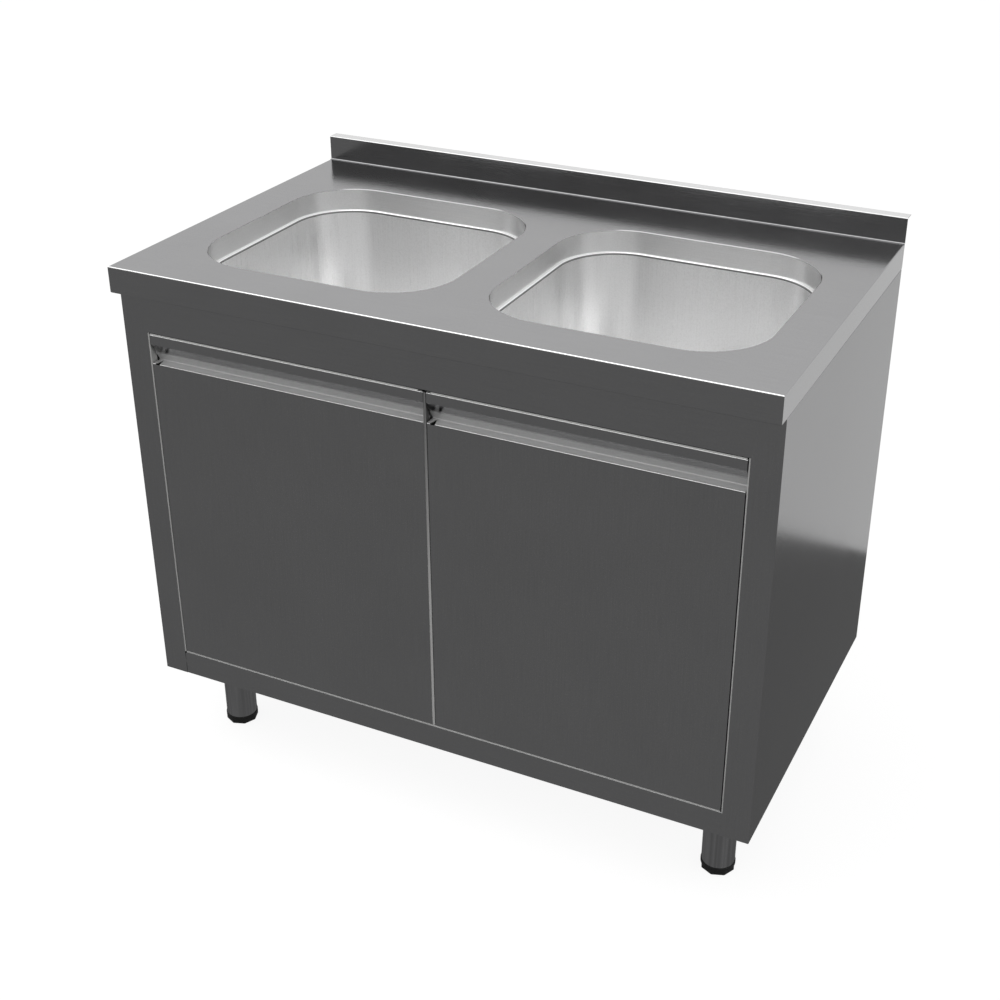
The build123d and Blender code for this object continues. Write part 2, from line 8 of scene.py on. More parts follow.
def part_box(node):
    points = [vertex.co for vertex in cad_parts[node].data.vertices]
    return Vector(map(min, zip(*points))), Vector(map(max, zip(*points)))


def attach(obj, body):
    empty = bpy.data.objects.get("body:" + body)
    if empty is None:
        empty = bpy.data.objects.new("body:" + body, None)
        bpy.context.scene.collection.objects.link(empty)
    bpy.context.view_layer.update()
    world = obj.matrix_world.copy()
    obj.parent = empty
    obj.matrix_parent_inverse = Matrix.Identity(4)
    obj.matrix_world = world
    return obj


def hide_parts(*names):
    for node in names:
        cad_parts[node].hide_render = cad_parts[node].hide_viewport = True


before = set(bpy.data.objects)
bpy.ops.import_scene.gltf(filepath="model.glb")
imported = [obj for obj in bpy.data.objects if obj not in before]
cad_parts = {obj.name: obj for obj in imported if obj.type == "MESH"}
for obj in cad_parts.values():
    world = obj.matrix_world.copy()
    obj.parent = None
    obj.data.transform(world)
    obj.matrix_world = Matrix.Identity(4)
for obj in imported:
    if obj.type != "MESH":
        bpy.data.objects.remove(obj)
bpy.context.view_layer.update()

# ---- Worktop ----
# One 1.2 mm sheet of stainless steel, folded down at the front and the ends and up into
# a low upstand at the back. The maker leaves the satin rolling grain along its length.
def sheet_grain_group():
    """Rolling grain, fine speckle and slow clouding of a satin steel sheet."""
    group = bpy.data.node_groups.new("sheet_grain", "ShaderNodeTree")
    for name, kind in (
        ("Tone", "NodeSocketColor"),
        ("Roughness", "NodeSocketFloat"),
        ("Grain", "NodeSocketVector"),
        ("Speckle size", "NodeSocketFloat"),
        ("Mottle", "NodeSocketFloat"),
        ("Streak depth", "NodeSocketFloat"),
    ):
        group.interface.new_socket(name=name, in_out="INPUT", socket_type=kind)
    group.interface.new_socket(name="Color", in_out="OUTPUT", socket_type="NodeSocketColor")
    group.interface.new_socket(name="Roughness", in_out="OUTPUT", socket_type="NodeSocketFloat")
    group.interface.new_socket(name="Height", in_out="OUTPUT", socket_type="NodeSocketFloat")
    add = group.nodes.new
    link = group.links.new
    inputs = add("NodeGroupInput").outputs
    outputs = add("NodeGroupOutput").inputs
    place = add("ShaderNodeTexCoord").outputs["Object"]

    stretched = add("ShaderNodeVectorMath")
    stretched.operation = "MULTIPLY"
    link(place, stretched.inputs[0])
    link(inputs["Grain"], stretched.inputs[1])
    streaks = add("ShaderNodeTexNoise")
    streaks.inputs["Scale"].default_value = 1.0
    streaks.inputs["Detail"].default_value = 3.0
    link(stretched.outputs[0], streaks.inputs["Vector"])

    speckle = add("ShaderNodeTexNoise")
    speckle.inputs["Detail"].default_value = 2.0
    link(place, speckle.inputs["Vector"])
    link(inputs["Speckle size"], speckle.inputs["Scale"])

    cloud = add("ShaderNodeTexNoise")
    cloud.inputs["Scale"].default_value = 7.0
    cloud.inputs["Detail"].default_value = 4.0
    link(place, cloud.inputs["Vector"])

    def centred(source, amount):
        """A value that swings round zero by an amount."""
        node = add("ShaderNodeMath")
        node.operation = "MULTIPLY_ADD"
        node.inputs[1].default_value = amount
        node.inputs[2].default_value = -amount / 2
        link(source, node.inputs[0])
        return node.outputs[0]

    def summed(first, second, operation="ADD"):
        """Two values added or multiplied."""
        node = add("ShaderNodeMath")
        node.operation = operation
        for socket, value in zip(node.inputs, (first, second)):
            if isinstance(value, float):
                socket.default_value = value
            else:
                link(value, socket)
        return node.outputs[0]

    speckled = summed(centred(speckle.outputs["Fac"], 1.0), inputs["Mottle"], "MULTIPLY")
    streaked = summed(centred(streaks.outputs["Fac"], 1.0), inputs["Streak depth"], "MULTIPLY")
    clouded = summed(streaked, centred(cloud.outputs["Fac"], 0.10))
    level = summed(summed(speckled, clouded), 1.0)
    toned = add("ShaderNodeVectorMath")
    toned.operation = "SCALE"
    link(inputs["Tone"], toned.inputs[0])
    link(level, toned.inputs["Scale"])
    link(toned.outputs[0], outputs["Color"])

    wandering = summed(centred(streaks.outputs["Fac"], 0.14), centred(cloud.outputs["Fac"], 0.08))
    link(summed(inputs["Roughness"], wandering), outputs["Roughness"])
    heights = summed(centred(streaks.outputs["Fac"], 0.6), centred(speckle.outputs["Fac"], 0.8))
    link(heights, outputs["Height"])
    return group


sheet_grain = sheet_grain_group()


def zone_group():
    """One inside a block of the piece's own space, alike left and right, and zero outside."""
    group = bpy.data.node_groups.new("zone", "ShaderNodeTree")
    for name in ("Low", "High", "Soft"):
        group.interface.new_socket(name=name, in_out="INPUT", socket_type="NodeSocketVector")
    group.interface.new_socket(name="Mask", in_out="OUTPUT", socket_type="NodeSocketFloat")
    add = group.nodes.new
    link = group.links.new
    inputs = add("NodeGroupInput").outputs
    outputs = add("NodeGroupOutput").inputs
    place = add("ShaderNodeTexCoord").outputs["Object"]

    def vector(operation, first, second=None):
        """A sum, difference or ratio of two vectors."""
        node = add("ShaderNodeVectorMath")
        node.operation = operation
        link(first, node.inputs[0])
        if second is not None:
            link(second, node.inputs[1])
        return node.outputs[0]

    either_side = vector("ABSOLUTE", place)
    split, sides = add("ShaderNodeSeparateXYZ"), add("ShaderNodeSeparateXYZ")
    link(place, split.inputs[0])
    link(either_side, sides.inputs[0])
    folded = add("ShaderNodeCombineXYZ")
    link(sides.outputs["X"], folded.inputs["X"])
    link(split.outputs["Y"], folded.inputs["Y"])
    link(split.outputs["Z"], folded.inputs["Z"])
    above = vector("DIVIDE", vector("SUBTRACT", folded.outputs[0], inputs["Low"]), inputs["Soft"])
    below = vector("DIVIDE", vector("SUBTRACT", inputs["High"], folded.outputs[0]), inputs["Soft"])
    nearest = add("ShaderNodeSeparateXYZ")
    link(vector("MINIMUM", above, below), nearest.inputs[0])
    least = nearest.outputs["X"]
    for axis in ("Y", "Z"):
        smaller = add("ShaderNodeMath")
        smaller.operation = "MINIMUM"
        smaller.use_clamp = True
        link(least, smaller.inputs[0])
        link(nearest.outputs[axis], smaller.inputs[1])
        least = smaller.outputs[0]
    link(least, outputs["Mask"])
    return group


zone_mask = zone_group()
GRAIN_ALONG = {"x": (14.0, 900.0, 900.0), "y": (900.0, 14.0, 900.0), "z": (900.0, 900.0, 14.0)}


def steel(
    name,
    tone,
    roughness,
    along,
    mottle=0.10,
    speckle=620.0,
    bump=0.00003,
    low_angle=0.72,
    streak=0.16,
):
    """Stainless steel sheet with its grain along one axis, dimmer when seen at a low angle."""
    material = bpy.data.materials.new(name)
    material.use_nodes = True
    nodes, links = material.node_tree.nodes, material.node_tree.links
    surface = nodes["Principled BSDF"]
    surface.inputs["Metallic"].default_value = 1.0
    surface.inputs["Specular Tint"].default_value = (low_angle, low_angle, low_angle, 1.0)
    grain = nodes.new("ShaderNodeGroup")
    grain.node_tree = sheet_grain
    grain.inputs["Tone"].default_value = (*tone, 1.0)
    grain.inputs["Roughness"].default_value = roughness
    grain.inputs["Grain"].default_value = GRAIN_ALONG[along]
    grain.inputs["Speckle size"].default_value = speckle
    grain.inputs["Mottle"].default_value = mottle
    grain.inputs["Streak depth"].default_value = streak
    relief = nodes.new("ShaderNodeBump")
    relief.inputs["Distance"].default_value = bump
    links.new(grain.outputs["Color"], surface.inputs["Base Color"])
    links.new(grain.outputs["Roughness"], surface.inputs["Roughness"])
    links.new(grain.outputs["Height"], relief.inputs["Height"])
    links.new(relief.outputs["Normal"], surface.inputs["Normal"])
    return material


def finish_zone(material, low, high, soft, tone, roughness, metallic=None):
    """Give one part of a piece a finish of its own, as metallic as the rest unless told."""
    nodes, links = material.node_tree.nodes, material.node_tree.links
    surface = nodes["Principled BSDF"]
    grain = next(node for node in nodes if node.bl_idname == "ShaderNodeGroup")
    zone = nodes.new("ShaderNodeGroup")
    zone.node_tree = zone_mask
    for socket, value in (("Low", low), ("High", high), ("Soft", soft)):
        zone.inputs[socket].default_value = value
    changes = [
        (grain.inputs["Roughness"], "FLOAT", 2, roughness),
        (grain.inputs["Tone"], "RGBA", 6, (*tone, 1.0)),
    ]
    if metallic is not None:
        changes.append((surface.inputs["Metallic"], "FLOAT", 2, metallic))
    for socket, kind, first, inside in changes:
        between = nodes.new("ShaderNodeMix")
        between.data_type = kind
        if socket.is_linked:
            links.new(socket.links[0].from_socket, between.inputs[first])
        else:
            between.inputs[first].default_value = socket.default_value
        between.inputs[first + 1].default_value = inside
        links.new(zone.outputs["Mask"], between.inputs["Factor"])
        links.new(next(output for output in between.outputs if output.enabled), socket)


def finish_nodes(material, *names):
    """Give CAD nodes their material."""
    for name in names:
        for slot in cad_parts[name].material_slots:
            slot.material = material


worktop_steel = steel(
    "worktop_steel",
    tone=(0.368, 0.368, 0.372),
    roughness=0.17,
    along="x",
    speckle=430.0,
    bump=0.00007,
    low_angle=0.74,
)
finish_zone(
    worktop_steel,  # the collars, pressed with the bowls, get a much lighter tone: partly their polish, partly a painted reflection
    low=(0.0305, -0.2335, 0.8000),
    high=(0.4335, 0.1695, 0.8386),
    soft=(0.0003, 0.0003, 0.0003),
    tone=(0.80, 0.80, 0.80),
    roughness=0.32,
)
painted_highlight_edges = (
    ((0.0, -0.3102, 0.8382), (0.5, -0.3083, 0.8402)),  # folded front edge
    ((0.0, 0.2890, 0.8790), (0.5, 0.3102, 0.8802)),  # top of the upstand
)
for low, high in painted_highlight_edges:
    finish_zone(
        worktop_steel,  # painted highlight along the folded front edge and the top of the upstand
        low=low,
        high=high,
        soft=(0.0002, 0.0002, 0.0002),
        tone=(0.86, 0.86, 0.86),
        roughness=0.24,
    )
finish_nodes(worktop_steel, "worktop")

# ---- Bowls ----
# Two deep-drawn bowls, welded by their rims under the collars of the worktop. The press
# leaves them smooth, and their steel is far lighter than the sheet: partly a soft polish down the
# walls, partly painted light against the shade inside the bowls.
bowl_centre = {}
for side in ("left", "right"):
    low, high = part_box(f"bowl_{side}")
    bowl_centre[side] = (low + high) / 2
bowl_half = 0.200  # collar of the mouth
ledge = 0.005
rim = 0.011
sheet = 0.001
corner = 0.100
floor_fold = 0.025
ledge_fold = 0.003
ledge_height = 0.806
bowl_floor = 0.590
waste_hole = 0.0244
corner_steps = 16
sharp_fold = math.radians(32)


def rounded_ring(half, radius, height):
    """Points round a rounded square, anticlockwise from above."""
    points = []
    for quarter in range(4):
        start = quarter * math.pi / 2
        axis_x = (half - radius) * (1 if quarter in (0, 3) else -1)
        axis_y = (half - radius) * (1 if quarter in (0, 1) else -1)
        for step in range(corner_steps + 1):
            angle = start + step * math.pi / 2 / corner_steps
            x = axis_x + radius * math.cos(angle)
            y = axis_y + radius * math.sin(angle)
            points.append((x, y, height))
    return points


def fold_profile(centre_out, centre_up, radius, start, end, steps):
    """Outward and upward distances along the arc of a fold, angles in degrees."""
    profile = []
    for step in range(steps + 1):
        angle = math.radians(start + (end - start) * step / steps)
        out = centre_out + radius * math.cos(angle)
        up = centre_up + radius * math.sin(angle)
        profile.append((out, up))
    return profile


def lofted(name, rings, closed=True):
    """Skin through rings of points, smooth except at its sharp edges."""
    mesh = bpy.data.meshes.new(name)
    count = len(rings[0])
    points = [point for ring in rings for point in ring]
    faces = []
    last = len(rings) if closed else len(rings) - 1
    for row in range(last):
        first, second = row * count, (row + 1) % len(rings) * count
        for index in range(count):
            after = (index + 1) % count
            faces.append((first + index, first + after, second + after, second + index))
    mesh.from_pydata(points, [], faces)
    mesh.validate()
    shape = bmesh.new()
    shape.from_mesh(mesh)
    bmesh.ops.recalc_face_normals(shape, faces=shape.faces)
    shape.to_mesh(mesh)
    shape.free()
    mesh.shade_smooth()
    mesh.set_sharp_from_angle(angle=sharp_fold)
    piece = bpy.data.objects.new(name, mesh)
    bpy.context.collection.objects.link(piece)
    return piece


def bowl_piece(side):
    """One bowl, from its waste hole out to its rim and back along the outside."""
    wall = bowl_half - ledge
    floor_turn = (wall - floor_fold, bowl_floor + floor_fold)
    ledge_turn = (wall + ledge_fold, ledge_height - ledge_fold)
    inside = [(None, bowl_floor)]
    inside += fold_profile(*floor_turn, floor_fold, -90, 0, 12)
    inside += fold_profile(*ledge_turn, ledge_fold, 180, 90, 6)
    inside += [(bowl_half + rim, ledge_height)]
    outside = [(bowl_half + rim, ledge_height - sheet), (wall + sheet, ledge_height - sheet)]
    outside += fold_profile(*floor_turn, floor_fold + sheet, 0, -90, 8)
    outside += [(None, bowl_floor - sheet)]
    rings = []
    for half, height in inside + outside:
        if half is None:
            ring = rounded_ring(waste_hole, waste_hole, height)
        else:
            ring = rounded_ring(half, half - (bowl_half - corner), height)
        rings.append(ring)
    piece = lofted(f"pressed_bowl_{side}", rings)
    piece.location = (bowl_centre[side][0], bowl_centre[side][1], 0.0)
    return piece


# A near-white tone: partly polish, partly painted light against the shade inside the bowls.
bowl_steel = steel(
    "bowl_steel",
    tone=(0.96, 0.96, 0.96),
    roughness=0.30,
    along="z",
    mottle=0.22,
    speckle=480.0,
    bump=0.00005,
    low_angle=1.0,
)
finish_zone(
    bowl_steel,  # the floor is left satin where the walls are polished
    low=(0.0, -1.0, 0.5600),
    high=(1.0, 1.0, 0.6150),
    soft=(0.0001, 0.0001, 0.0200),
    tone=(0.80, 0.80, 0.80),
    roughness=0.36,
)
finish_zone(
    bowl_steel,  # a painted shadow line under the ledge
    low=(0.0, -1.0, 0.8018),
    high=(1.0, 1.0, 0.8050),
    soft=(0.0001, 0.0001, 0.0004),
    tone=(0.26, 0.26, 0.26),
    roughness=0.36,
)
for side in ("left", "right"):
    pressed_bowl = bowl_piece(side)
    pressed_bowl.data.materials.append(bowl_steel)
    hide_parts(f"bowl_{side}")
    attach(pressed_bowl, "cabinet")

# ---- Wastes ----
# Turned and polished outlets with a cross-bar grate and a threaded tail. Each is drawn
# down on the bowl floor by a moulded nut, with a rubber seal between them.
waste_steel = steel("waste_steel", (0.58, 0.58, 0.585), 0.14, "z", mottle=0.03, bump=0.00001)
finish_nodes(waste_steel, "wastes")


def thread_ridge(name, axis, low, high, root, depth, pitch, steps, material, body):
    """Ridge of a rolled thread, wound up a round piece and run out at both ends."""
    shape = bmesh.new()
    count = round((high - low) / pitch * steps)
    foot_reach = root - 0.00005  # sunk a little into the round piece
    half_foot = 0.42 * pitch
    before = None
    for step in range(count + 1):
        angle = math.tau * step / steps
        height = low + (high - low) * step / count
        out = depth * min(1.0, step / steps, (count - step) / steps)
        ring = []
        for reach, rise in ((foot_reach, -half_foot), (root + out, 0.0), (foot_reach, half_foot)):
            x = axis[0] + reach * math.cos(angle)
            y = axis[1] + reach * math.sin(angle)
            ring.append(shape.verts.new((x, y, height + rise)))
        if before:
            for first, second in ((0, 1), (1, 2), (2, 0)):
                shape.faces.new((before[first], before[second], ring[second], ring[first]))
        if step in (0, count):
            shape.faces.new(ring)
        before = ring
    bmesh.ops.recalc_face_normals(shape, faces=shape.faces)
    mesh = bpy.data.meshes.new(name)
    shape.to_mesh(mesh)
    shape.free()
    mesh.shade_smooth()
    mesh.set_sharp_from_angle(angle=math.radians(40))
    mesh.materials.append(material)
    ridge = bpy.data.objects.new(name, mesh)
    bpy.context.collection.objects.link(ridge)
    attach(ridge, body)


for side in ("left", "right"):
    thread_ridge(
        f"waste_thread_{side}",
        axis=(bowl_centre[side].x, bowl_centre[side].y),
        low=0.5170,
        high=0.5755,
        root=0.0239,
        depth=0.0006,
        pitch=0.0023,
        steps=24,
        material=waste_steel,
        body="cabinet",
    )


def moulded(name, tone, roughness, pitting=0.0001, grain_size=900.0):
    """Moulded plastic or rubber with a fine matt skin."""
    material = bpy.data.materials.new(name)
    material.use_nodes = True
    nodes, links = material.node_tree.nodes, material.node_tree.links
    surface = nodes["Principled BSDF"]
    grain = nodes.new("ShaderNodeGroup")
    grain.node_tree = sheet_grain
    grain.inputs["Tone"].default_value = (*tone, 1.0)
    grain.inputs["Roughness"].default_value = roughness
    grain.inputs["Grain"].default_value = (300.0, 300.0, 300.0)
    grain.inputs["Speckle size"].default_value = grain_size
    grain.inputs["Mottle"].default_value = 0.12
    grain.inputs["Streak depth"].default_value = 0.16
    relief = nodes.new("ShaderNodeBump")
    relief.inputs["Distance"].default_value = pitting
    links.new(grain.outputs["Color"], surface.inputs["Base Color"])
    links.new(grain.outputs["Roughness"], surface.inputs["Roughness"])
    links.new(grain.outputs["Height"], relief.inputs["Height"])
    links.new(relief.outputs["Normal"], surface.inputs["Normal"])
    return material


finish_nodes(moulded("seal_rubber", (0.02, 0.02, 0.02), 0.7), "waste_seals")
finish_nodes(moulded("nut_plastic", (0.03, 0.03, 0.032), 0.45), "waste_nuts")

# ---- Stiffeners and channels ----
# Hat sections under the worktop, channels behind it and the bearers of the legs. They are
# folded from mill-finish sheet and spot welded where nobody looks.
channel_steel = steel("channel_steel", (0.36, 0.36, 0.365), 0.36, "x", mottle=0.14)
finish_nodes(channel_steel, "rear_apron", "rear_rail", "stiffener_front", "stiffener_rear")
cross_steel = steel("cross_steel", (0.36, 0.36, 0.365), 0.36, "y", mottle=0.14)
finish_nodes(
    cross_steel,
    "stiffener_left",
    "stiffener_middle",
    "stiffener_right",
    "bearer_left",
    "bearer_right",
)

# ---- Cupboard ----
# Side sheets, rails, shelf and back of 1 mm satin sheet, folded and spot welded into a box.
# Their inner faces carry a lighter tone than the outer ones.
satin_tone = (0.36, 0.36, 0.364)
inner_tone = (0.60, 0.60, 0.605)
upright_steel = steel(
    "upright_steel", satin_tone, 0.17, "z", mottle=0.22, bump=0.00006, low_angle=0.6
)
level_steel = steel("level_steel", satin_tone, 0.17, "x", mottle=0.22, bump=0.00006)
inner_faces = (
    (upright_steel, (0.0, -0.2620, 0.1405), (0.4993, 0.2888, 0.7995)),  # of the sides
    (level_steel, (0.0, -0.2878, 0.1500), (0.5000, 0.2888, 0.1825)),  # of the shelf
)
for sheet_steel, low, high in inner_faces:
    finish_zone(
        sheet_steel,
        low=low,
        high=high,
        soft=(0.0002, 0.0002, 0.0002),
        tone=inner_tone,
        roughness=0.30,
    )
inner_steel = steel("inner_steel", inner_tone, 0.30, "z", mottle=0.16)
finish_nodes(upright_steel, "side_panel_left", "side_panel_right")
finish_nodes(level_steel, "top_rail", "bottom_shelf")
finish_nodes(inner_steel, "back_panel")

# ---- Legs and feet ----
# Two inch tube under a square plate. The moulded foot has a skirt round the end of the
# tube and eight flats to turn it by, and it screws up and down on its stem.
GRAIN_ALONG["tube"] = (170.0, 170.0, 3.0)
tube_steel = steel("tube_steel", (0.34, 0.34, 0.345), 0.20, "tube", mottle=0.06, streak=1.1)
finish_nodes(tube_steel, "legs")
stem_steel = steel("stem_steel", satin_tone, 0.17, "z", mottle=0.06)
finish_nodes(stem_steel, "leg_nuts")
foot_plastic = moulded("foot_plastic", (0.006, 0.006, 0.006), 0.55)
skirt_inside = 0.0255
skirt_outside = 0.0263
skirt_top = 0.0140
tube_end = 0.0120
stem_hole = 0.0083
foot_steps = 96
foot_turn = math.radians(48.0)


def foot_ring(radius, height, eight_sided=False):
    """Points round the foot, on a circle or on its eight flats."""
    points = []
    for step in range(foot_steps):
        angle = math.tau * step / foot_steps
        flat = (angle + foot_turn) % (math.pi / 4) - math.pi / 8
        reach = radius * math.cos(math.pi / 8) / math.cos(flat) if eight_sided else radius
        points.append((reach * math.cos(angle), reach * math.sin(angle), height))
    return points


foot_rings = (
    (stem_hole, tube_end, False),
    (skirt_inside, tube_end, False),
    (skirt_inside, skirt_top, False),
    (skirt_outside - 0.0003, skirt_top, False),
    (skirt_outside, skirt_top - 0.0004, False),
    (skirt_outside, 0.0085, False),
    (skirt_outside, 0.0070, True),
    (skirt_outside, 0.0010, True),
    (skirt_outside - 0.0010, 0.0, True),
    (stem_hole, 0.0, False),
)
leg_axes = []
for place in ("front_left", "front_right", "rear_left", "rear_right"):
    low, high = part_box(f"foot_{place}")
    leg_x, leg_y = (low.x + high.x) / 2, (low.y + high.y) / 2
    leg_axes.append((leg_x, leg_y))
    moulded_foot = lofted(f"moulded_foot_{place}", [foot_ring(*ring) for ring in foot_rings])
    moulded_foot.data.transform(Matrix.Translation((leg_x, leg_y, 0.0)))
    moulded_foot.data.materials.append(foot_plastic)
    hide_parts(f"foot_{place}")
    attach(moulded_foot, f"levelling_foot_{place}")
    finish_nodes(stem_steel, f"foot_stem_{place}")
    thread_ridge(
        f"stem_thread_{place}",
        axis=(leg_x, leg_y),
        low=0.0132,
        high=0.0500,
        root=0.0080,
        depth=0.0002,
        pitch=0.0020,
        steps=16,
        material=stem_steel,
        body=f"levelling_foot_{place}",
    )


def heads(name, places, outward, profile, sides, material, body):
    """Alike small heads, each turned or forged to one profile and set on its face."""
    turn = Vector(outward).to_track_quat("Z", "Y").to_matrix()
    shape = bmesh.new()
    for place in places:
        before = None
        for radius, height in profile:
            ring = []
            for corner_number in range(sides):
                angle = math.tau * corner_number / sides
                point = Vector((radius * math.cos(angle), radius * math.sin(angle), height))
                ring.append(shape.verts.new(Vector(place) + turn @ point))
            if before:
                for index in range(sides):
                    after = (index + 1) % sides
                    shape.faces.new((before[index], before[after], ring[after], ring[index]))
            else:
                shape.faces.new(ring)
            before = ring
        shape.faces.new(before)
    bmesh.ops.recalc_face_normals(shape, faces=shape.faces)
    mesh = bpy.data.meshes.new(name)
    shape.to_mesh(mesh)
    shape.free()
    mesh.shade_smooth()
    mesh.set_sharp_from_angle(angle=sharp_fold)
    mesh.materials.append(material)
    group = bpy.data.objects.new(name, mesh)
    bpy.context.collection.objects.link(group)
    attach(group, body)


bolt_head = (
    (0.0062, 0.0),
    (0.0062, 0.0004),
    (0.0055, 0.0004),
    (0.0055, 0.0030),
    (0.0048, 0.0035),
)
bolt_offset = 0.031  # from the middle of the plate, both ways
plate_underside = 0.1400
bolt_places = []
for leg_x, leg_y in leg_axes:
    for across in (-bolt_offset, bolt_offset):
        for along in (-bolt_offset, bolt_offset):
            bolt_places.append((leg_x + across, leg_y + along, plate_underside))
heads(
    "plate_bolts",
    bolt_places,
    outward=(0, 0, -1),
    profile=bolt_head,
    sides=6,
    material=stem_steel,
    body="cabinet",
)

# ---- Doors ----
# A skin of 1 mm satin sheet, folded into a full-width finger pull along its top, and an
# inner sheet pressed between its edges. A small steel plate meets the magnet of the catch.
door_steel = steel("door_steel", satin_tone, 0.17, "z", mottle=0.22, bump=0.00006)
finish_zone(
    door_steel,  # painted light inside the pull: a paler, part-matt steel where the recess lies in shade
    low=(-1.0, -0.2897, 0.6840),
    high=(1.0, -0.2710, 0.7090),
    soft=(0.0004, 0.0004, 0.0060),
    tone=(0.66, 0.66, 0.66),
    metallic=0.45,
    roughness=0.35,
)
painted_highlight_door_edges = (
    ((0.0, -0.2903, 0.6894), (0.5, -0.2884, 0.6910)),  # under the pull
    ((0.0, -0.2903, 0.7344), (0.5, -0.2884, 0.7358)),  # top of the door
)
for low, high in painted_highlight_door_edges:
    finish_zone(
        door_steel,  # painted highlight along the edge under the pull and the top of the door
        low=low,
        high=high,
        soft=(0.0002, 0.0002, 0.0002),
        tone=(0.80, 0.80, 0.80),
        metallic=1.0,
        roughness=0.24,
    )
for side in ("left", "right"):
    finish_nodes(door_steel, f"door_skin_{side}")
    finish_nodes(inner_steel, f"door_liner_{side}")
    finish_nodes(stem_steel, f"strike_plate_{side}")

# ---- Back rivets ----
# Blind rivets with a domed head and the hollow of the pulled pin, through the rear flanges
# of the sides and the flange of the shelf.
rivet_head = (
    (0.0024, 0.0),
    (0.0022, 0.0005),
    (0.0015, 0.0009),
    (0.0009, 0.0010),
    (0.0008, 0.0005),
)
flange_middle = 0.4870
flange_rear = 0.2900
panel_rear = 0.2890
lowest_rivet = 0.1750
upright_pitch = 0.1180
shelf_flange = 0.1540
first_along = -0.4000
level_pitch = 0.1600
rivet_places = []
for row in range(6):
    for across in (-flange_middle, flange_middle):
        rivet_places.append((across, flange_rear, lowest_rivet + row * upright_pitch))
    rivet_places.append((first_along + row * level_pitch, panel_rear, shelf_flange))
heads(
    "back_rivets",
    rivet_places,
    outward=(0, 1, 0),
    profile=rivet_head,
    sides=16,
    material=stem_steel,
    body="cabinet",
)

# ---- Gap strips ----
# Light grey strips in the gaps round the doors, whose pale colour is painted light for the bright
# lines of the gaps: on the edge of each stile, on the top of each door, on the bottom rail and
# between the two doors.
# Pale grey: a painted highlight standing in for the light lines in the gaps.
gap_strip_painted_light = moulded("gap_strip_painted_light", (0.62, 0.62, 0.61), 0.55, pitting=0.00003)
finish_zone(
    gap_strip_painted_light,  # painted shade: the upper part of the strip between the doors is darker
    low=(0.0, -0.2950, 0.4000),
    high=(0.0100, -0.2700, 1.1000),
    soft=(0.0002, 0.0002, 0.3500),
    tone=(0.12, 0.12, 0.12),
    roughness=0.60,
)


def drawn_strip(name, outline, runs_along, start, end, body):
    """A strip of one outline, drawn along x or z."""
    rings = []
    for place in (start, end):
        if runs_along == "x":
            rings.append([(place, y, z) for y, z in outline])
        else:
            rings.append([(x, y, place) for x, y in outline])
    strip = lofted(name, rings, closed=False)
    shape = bmesh.new()
    shape.from_mesh(strip.data)
    bmesh.ops.holes_fill(shape, edges=[edge for edge in shape.edges if edge.is_boundary], sides=0)
    bmesh.ops.recalc_face_normals(shape, faces=shape.faces)
    shape.to_mesh(strip.data)
    shape.free()
    strip.data.set_sharp_from_angle(angle=sharp_fold)
    strip.data.materials.append(gap_strip_painted_light)
    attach(strip, body)
    return strip


def edge_outline(base, out, reach, front, rear):
    """Strip glued to an upright edge, with a rounded nose of one reach at its front."""
    nose = 0.0004
    thin = 0.0004
    return [
        (base, rear),
        (base + out * thin, rear),
        (base + out * thin, front + 0.0015),
        (base + out * (reach - nose), front + 0.0015),
        (base + out * reach, front + 0.0015 - nose),
        (base + out * reach, front + nose),
        (base + out * (reach - nose), front),
        (base, front),
    ]


def bead_outline(base):
    """Bead glued down along a level edge, rounded at its front and rear."""
    front = -0.2896
    rear = -0.2880
    height = 0.0018
    rounding = 0.0004
    return [
        (front, base),
        (front, base + height - rounding),
        (front + rounding, base + height),
        (rear - rounding, base + height),
        (rear, base + height - rounding),
        (rear, base),
    ]


stile_edge = 0.45898
door_edge = -0.00262  # meeting edge of the left door
strip_rear = -0.2745
door_top = 0.7355
rail_top = 0.1810
end_gap = 0.001
for side, out in (("left", 1), ("right", -1)):
    outline = edge_outline(-out * stile_edge, out, reach=0.0021, front=-0.2894, rear=strip_rear)
    drawn_strip(f"stile_strip_{side}", outline, "z", start=0.1815, end=0.7380, body="cabinet")
    low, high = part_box(f"door_skin_{side}")
    start, end = low.x + end_gap, high.x - end_gap
    drawn_strip(f"lip_strip_{side}", bead_outline(door_top), "x", start, end, f"door_{side}")
outline = edge_outline(door_edge, 1, reach=0.0040, front=-0.2892, rear=strip_rear)
drawn_strip("middle_strip", outline, "z", start=0.1840, end=0.7350, body="door_left")
drawn_strip("sill_strip", bead_outline(rail_top), "x", start=-0.4550, end=0.4550, body="cabinet")

# ---- Pivots and catches ----
# Moulded white blocks in the doors turn on steel pins riveted to the rails. Ferrite magnets
# in white housings, screwed under the top rail, hold the doors shut.
nylon = moulded("white_nylon", (0.72, 0.72, 0.70), 0.45)
finish_nodes(nylon, "pivot_bushes_left", "pivot_bushes_right", "catch_housings")
finish_nodes(stem_steel, "pivot_pins_top", "pivot_pins_bottom")
finish_nodes(moulded("magnet_ferrite", (0.05, 0.05, 0.052), 0.6), "catch_magnets")
screw_head = (
    (0.0032, 0.0),
    (0.0031, 0.0008),
    (0.0024, 0.0015),
    (0.0014, 0.0018),
    (0.0013, 0.0008),
)
catch_middle = 0.060
screw_offset = 0.0195
housing_middle = -0.2597
housing_underside = 0.7245
screw_places = []
for middle in (-catch_middle, catch_middle):
    for across in (-screw_offset, screw_offset):
        screw_places.append((middle + across, housing_middle, housing_underside))
heads(
    "catch_screws",
    screw_places,
    outward=(0, 0, -1),
    profile=screw_head,
    sides=18,
    material=stem_steel,
    body="cabinet",
)
